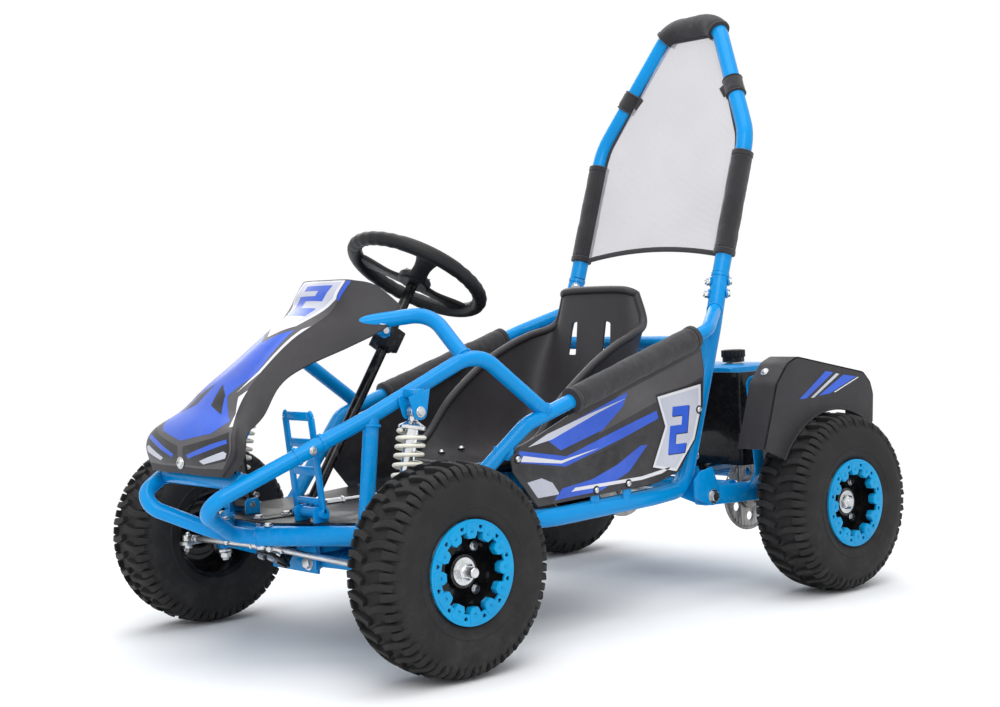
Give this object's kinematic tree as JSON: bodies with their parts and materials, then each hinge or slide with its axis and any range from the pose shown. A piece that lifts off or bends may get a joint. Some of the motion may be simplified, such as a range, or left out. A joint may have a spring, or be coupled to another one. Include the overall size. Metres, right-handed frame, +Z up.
{
  "type": "off road go kart",
  "caption": "Off road go kart with a welded tube frame, roll hoop with a net, coil sprung front arms and a chain driven rear axle on a swing frame.",
  "frame": {"origin": "centre of the bounding box's bottom face, on the ground", "axes": "+Z up, the kart points along -Y, its left side is +X"},
  "size_m": [0.866, 1.3358, 1.1209],
  "materials": {
    "frame_paint": "gloss azure blue",
    "black_paint": "gloss black",
    "zinc": "bright zinc",
    "spring_paint": "ivory",
    "tyre_rubber": "matte black",
    "soft_foam": "matte black cover",
    "body_plastic": "charcoal",
    "net_fabric": "grey mesh"
  },
  "bodies": {
    "frame": {"lower_rail_left": "frame_paint", "lower_rail_right": "frame_paint", "side_tube_left": "frame_paint", "side_tube_right": "frame_paint", "nose_frame": "frame_paint", "armrest_tube_left": "frame_paint", "armrest_tube_right": "frame_paint", "roll_hoop": "frame_paint", "seat_cross_tube": "frame_paint", "front_cradle": "frame_paint", "floor_pan": "black_paint", "column_clamp": "black_paint", "column_foot_bracket": "black_paint", "armrest_pad_left": "soft_foam", "armrest_pad_right": "soft_foam", "hoop_net": "net_fabric", "seat": "body_plastic", "side_panel_left": "body_plastic", "side_panel_right": "body_plastic", "nose_fairing": "body_plastic"},
    "steering": {"steering_column": "black_paint", "steering_wheel": "soft_foam"},
    "swing": {"rear_swing_frame": "frame_paint", "engine": "black_paint", "engine_guard": "black_paint", "fuel_tank": "frame_paint", "fender_left": "body_plastic", "fender_right": "body_plastic", "chain": "zinc"},
    "cap": {"fuel_cap": "body_plastic"},
    "axle": {"rear_axle": "zinc", "rear_tyre_left": "tyre_rubber", "rear_tyre_right": "tyre_rubber", "rear_rim_left": "black_paint", "rear_rim_right": "black_paint", "sprocket": "zinc", "brake_disc": "zinc"},
    "drum": {"clutch_drum": "zinc"},
    "rear_shock_upper": {"rear_shock_body": "zinc", "rear_shock_spring": "spring_paint"},
    "rear_shock_lower": {"rear_shock_rod": "zinc"},
    "brake": {"brake_pedal": "frame_paint"},
    "throttle": {"throttle_pedal": "black_paint"},
    "brake_link": {"brake_rod": "zinc"},
    "arm_left": {"front_arm_left": "frame_paint"},
    "knuckle_left": {"knuckle_left": "zinc"},
    "front_wheel_left": {"front_tyre_left": "tyre_rubber", "front_rim_left": "black_paint"},
    "tie_rod_left": {"tie_rod_left": "zinc"},
    "shock_upper_left": {"shock_body_left": "zinc", "shock_spring_left": "spring_paint"},
    "shock_lower_left": {"shock_rod_left": "zinc"},
    "arm_right": {"front_arm_right": "frame_paint"},
    "knuckle_right": {"knuckle_right": "zinc"},
    "front_wheel_right": {"front_tyre_right": "tyre_rubber", "front_rim_right": "black_paint"},
    "tie_rod_right": {"tie_rod_right": "zinc"},
    "shock_upper_right": {"shock_body_right": "zinc", "shock_spring_right": "spring_paint"},
    "shock_lower_right": {"shock_rod_right": "zinc"}
  },
  "joints": [
    {"name": "steering_turn", "type": "hinge", "parent": "frame", "child": "steering", "pos_m": [0, -0.46914, 0.1435], "axis": [0, 0.5505, 0.8348], "range_deg": [-40, 40]},
    {"name": "front_arm_left_swing", "type": "hinge", "parent": "frame", "child": "arm_left", "pos_m": [0.04, -0.40214, 0.15], "axis": [0, -1, 0], "range_deg": [0, 6], "stiffness_Nm_per_rad": 400, "springref_deg": -8.59},
    {"name": "knuckle_left_steer", "type": "hinge", "parent": "arm_left", "child": "knuckle_left", "pos_m": [0.285, -0.40214, 0.165], "axis": [0, 0, 1], "range_deg": [-16.5, 16.5]},
    {"name": "front_wheel_left_spin", "type": "hinge", "parent": "knuckle_left", "child": "front_wheel_left", "pos_m": [0.358, -0.40214, 0.165], "axis": [1, 0, 0], "continuous": true},
    {"name": "tie_rod_left_turn", "type": "hinge", "parent": "knuckle_left", "child": "tie_rod_left", "pos_m": [0.276, -0.48214, 0.17], "axis": [0, 0, 1], "range_deg": [-16.5, 16.5]},
    {"name": "shock_left_tilt", "type": "hinge", "parent": "frame", "child": "shock_upper_left", "pos_m": [0.246, -0.36864, 0.398], "axis": [-1, 0, 0], "range_deg": [-0.2, 1.5]},
    {"name": "shock_left_stroke", "type": "slide", "parent": "shock_upper_left", "child": "shock_lower_left", "axis": [0, 0.2142, 0.9768], "range_m": [-0.001, 0.0225], "deforming": ["shock_spring_left"]},
    {"name": "front_arm_right_swing", "type": "hinge", "parent": "frame", "child": "arm_right", "pos_m": [-0.04, -0.40214, 0.15], "axis": [0, 1, 0], "range_deg": [0, 6], "stiffness_Nm_per_rad": 400, "springref_deg": -8.59},
    {"name": "knuckle_right_steer", "type": "hinge", "parent": "arm_right", "child": "knuckle_right", "pos_m": [-0.285, -0.40214, 0.165], "axis": [0, 0, 1], "range_deg": [-16.5, 16.5]},
    {"name": "front_wheel_right_spin", "type": "hinge", "parent": "knuckle_right", "child": "front_wheel_right", "pos_m": [-0.358, -0.40214, 0.165], "axis": [1, 0, 0], "continuous": true},
    {"name": "tie_rod_right_turn", "type": "hinge", "parent": "knuckle_right", "child": "tie_rod_right", "pos_m": [-0.276, -0.48214, 0.17], "axis": [0, 0, 1], "range_deg": [-16.5, 16.5]},
    {"name": "shock_right_tilt", "type": "hinge", "parent": "frame", "child": "shock_upper_right", "pos_m": [-0.246, -0.36864, 0.398], "axis": [-1, 0, 0], "range_deg": [-0.2, 1.5]},
    {"name": "shock_right_stroke", "type": "slide", "parent": "shock_upper_right", "child": "shock_lower_right", "axis": [0, 0.2142, 0.9768], "range_m": [-0.001, 0.0225], "deforming": ["shock_spring_right"]},
    {"name": "rear_swing", "type": "hinge", "parent": "frame", "child": "swing", "pos_m": [0, 0.30436, 0.188], "axis": [1, 0, 0], "range_deg": [0, 6], "stiffness_Nm_per_rad": 1500, "springref_deg": -5.73},
    {"name": "rear_shock_tilt", "type": "hinge", "parent": "frame", "child": "rear_shock_upper", "pos_m": [0, 0.39936, 0.445], "axis": [-1, 0, 0], "range_deg": [-0.2, 1.4]},
    {"name": "rear_shock_stroke", "type": "slide", "parent": "rear_shock_upper", "child": "rear_shock_lower", "axis": [0, -0.0598, 0.9982], "range_m": [-0.001, 0.0125], "deforming": ["rear_shock_spring"]},
    {"name": "rear_axle_spin", "type": "hinge", "parent": "swing", "child": "axle", "pos_m": [0, 0.50286, 0.165], "axis": [1, 0, 0], "continuous": true},
    {"name": "clutch_drum_spin", "type": "hinge", "parent": "swing", "child": "drum", "pos_m": [0.172, 0.54286, 0.288], "axis": [1, 0, 0], "continuous": true},
    {"name": "fuel_cap_turn", "type": "hinge", "parent": "swing", "child": "cap", "pos_m": [0.1, 0.55536, 0.415], "axis": [0, 0, 1], "range_deg": [0, 120]},
    {"name": "brake_pedal_press", "type": "hinge", "parent": "frame", "child": "brake", "pos_m": [0.1, -0.47264, 0.241], "axis": [1, 0, 0], "range_deg": [0, 10], "stiffness_Nm_per_rad": 5, "springref_deg": -8.59},
    {"name": "brake_rod_pull", "type": "slide", "parent": "frame", "child": "brake_link", "axis": [0, -1, 0], "range_m": [-0.0005, 0.003]},
    {"name": "throttle_pedal_press", "type": "hinge", "parent": "frame", "child": "throttle", "pos_m": [-0.1, -0.47264, 0.241], "axis": [1, 0, 0], "range_deg": [0, 12], "stiffness_Nm_per_rad": 5, "springref_deg": -8.59}
  ],
  "couplings": [
    {"joint": "knuckle_left_steer", "follows": "steering_turn", "ratio": 0.4},
    {"joint": "tie_rod_left_turn", "follows": "steering_turn", "ratio": -0.4},
    {"joint": "shock_left_tilt", "follows": "front_arm_left_swing", "ratio": 0.2067},
    {"joint": "shock_left_stroke", "follows": "front_arm_left_swing", "m_per_rad": 0.2},
    {"joint": "knuckle_right_steer", "follows": "steering_turn", "ratio": 0.4},
    {"joint": "tie_rod_right_turn", "follows": "steering_turn", "ratio": -0.4},
    {"joint": "shock_right_tilt", "follows": "front_arm_right_swing", "ratio": 0.2067},
    {"joint": "shock_right_stroke", "follows": "front_arm_right_swing", "m_per_rad": 0.2},
    {"joint": "rear_shock_tilt", "follows": "rear_swing", "ratio": 0.1917},
    {"joint": "rear_shock_stroke", "follows": "rear_swing", "m_per_rad": 0.1079},
    {"joint": "clutch_drum_spin", "follows": "rear_axle_spin", "ratio": 3.1429},
    {"joint": "brake_rod_pull", "follows": "brake_pedal_press", "m_per_rad": 0.01444}
  ]
}
